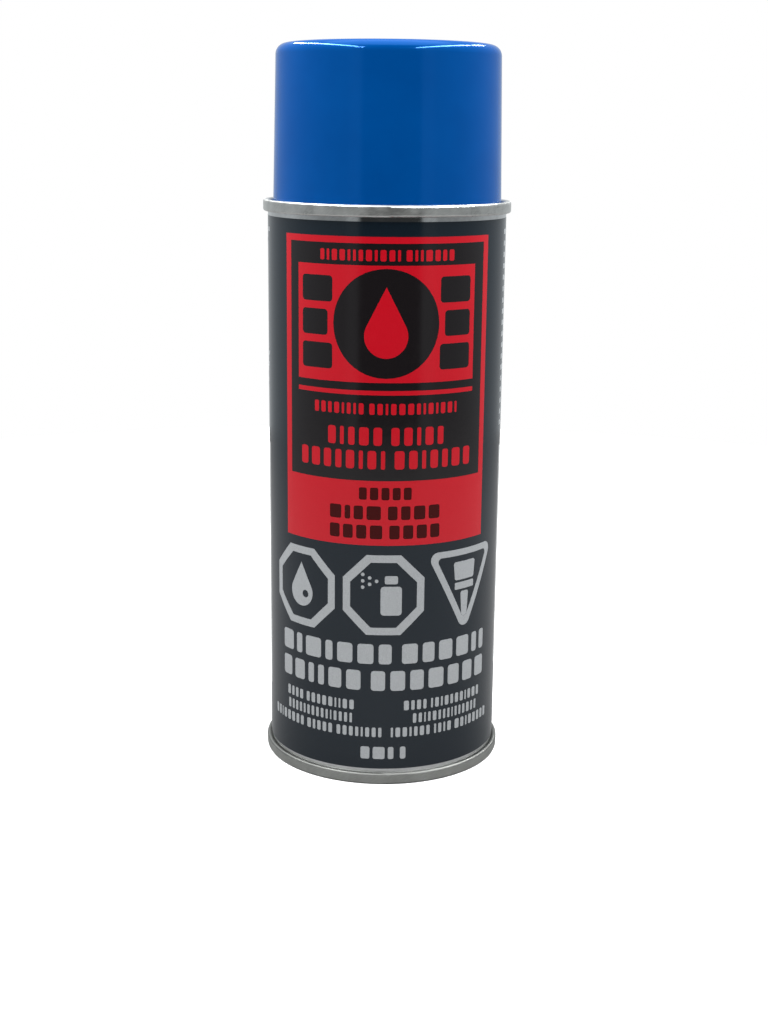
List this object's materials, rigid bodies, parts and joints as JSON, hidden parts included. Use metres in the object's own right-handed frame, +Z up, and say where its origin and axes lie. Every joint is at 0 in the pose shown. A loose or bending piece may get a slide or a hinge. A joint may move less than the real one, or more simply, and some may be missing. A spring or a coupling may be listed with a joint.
{
  "type": "aerosol spray can",
  "caption": "Upright cylindrical tinplate aerosol can with seamed ends, a cone top with a press-down spray valve and a pull-off plastic overcap.",
  "frame": {"origin": "centre of the bottom seam's resting ring, on the surface that the can stands on", "axes": "+Z up the can's axis; the nozzle and the front of the label face -Y"},
  "size_m": [0.0682, 0.0682, 0.1997],
  "materials": {
    "printed_tinplate": "gloss litho print",
    "bare_tinplate": "satin",
    "seam_compound": "matte",
    "gasket_rubber": "matte",
    "spring_steel": "drawn wire",
    "valve_plastic": "moulded",
    "tube_plastic": "extruded, translucent",
    "button_plastic": "moulded",
    "insert_plastic": "moulded",
    "cap_plastic": "gloss moulded",
    "ball_steel": "polished"
  },
  "bodies": {
    "can": {"can_body": "printed_tinplate", "top_dome": "bare_tinplate", "bottom_end": "bare_tinplate", "top_seam_compound": "seam_compound", "bottom_seam_compound": "seam_compound", "mounting_cup": "bare_tinplate", "cup_gasket": "gasket_rubber", "stem_gasket": "gasket_rubber", "valve_housing": "valve_plastic", "valve_spring": "spring_steel", "dip_tube": "tube_plastic"},
    "stem": {"valve_stem": "valve_plastic"},
    "button": {"actuator_button": "button_plastic", "nozzle_insert": "insert_plastic"},
    "cap": {"overcap": "cap_plastic"},
    "ball": {"mixing_ball": "ball_steel"}
  },
  "joints": [
    {"name": "valve_press", "type": "slide", "parent": "can", "child": "stem", "axis": [0, 0, -1], "range_m": [0, 0.0015], "stiffness_N_per_m": 5000, "springref_m": -0.003, "deforming": ["valve_spring"]},
    {"name": "button_turn", "type": "hinge", "parent": "stem", "child": "button", "pos_m": [0, 0, 0.1762], "axis": [0, 0, 1], "continuous": true},
    {"name": "overcap_lift", "type": "slide", "parent": "can", "child": "cap", "axis": [0, 0, 1], "range_m": [0, 0.06]},
    {"name": "ball_travel", "type": "slide", "parent": "can", "child": "ball", "axis": [0, 0, 1], "range_m": [0, 0.134]}
  ]
}
